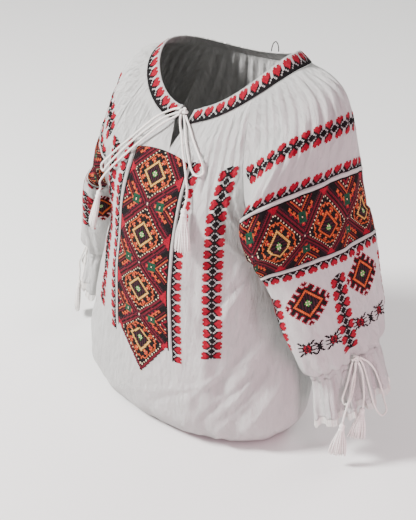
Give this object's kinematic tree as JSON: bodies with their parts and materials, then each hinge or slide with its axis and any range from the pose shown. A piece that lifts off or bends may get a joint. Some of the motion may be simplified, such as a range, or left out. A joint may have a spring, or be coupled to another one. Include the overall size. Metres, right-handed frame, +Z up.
{
  "type": "blouse",
  "caption": "Folk blouse with gathered band neck, keyhole, full raglan sleeves, frilled lace cuffs and tasselled ties, hollow and in its worn shape.",
  "frame": {"origin": "middle of the neck opening at shoulder level, where the wearer's shoulders hold the blouse", "axes": "+Z up, -Y out of the front, +X to the wearer's left"},
  "size_m": [0.6282, 0.2894, 0.5918],
  "materials": {
    "cotton": "matt crinkled cotton",
    "band": "matt embroidered cotton",
    "lace": "matt cotton lace",
    "cord": "matt twisted cotton",
    "tassel": "soft cotton yarn",
    "black_cord": "matt cord"
  },
  "bodies": {
    "root": {"front_panel": "cotton", "back_panel": "cotton", "sleeve_left": "cotton", "sleeve_right": "cotton", "neckband": "band", "cuff_casing_left": "cotton", "frill_left": "cotton", "lace_left": "lace", "cuff_casing_right": "cotton", "frill_right": "cotton", "lace_right": "lace", "neck_loop_left": "cord", "neck_end_left": "cord", "neck_loop_right": "cord", "neck_end_right": "cord", "cuff_loop_a_left": "cord", "cuff_loop_b_left": "cord", "cuff_end_a_left": "cord", "cuff_end_b_left": "cord", "cuff_loop_a_right": "cord", "cuff_loop_b_right": "cord", "cuff_end_a_right": "cord", "cuff_end_b_right": "cord", "neck_knot": "cord", "cuff_knot_left": "cord", "cuff_knot_right": "cord", "neck_tassel_left": "tassel", "neck_tassel_right": "tassel", "cuff_tassel_a_left": "tassel", "cuff_tassel_b_left": "tassel", "cuff_tassel_a_right": "tassel", "cuff_tassel_b_right": "tassel", "hanging_loop": "black_cord"}
  },
  "joints": []
}
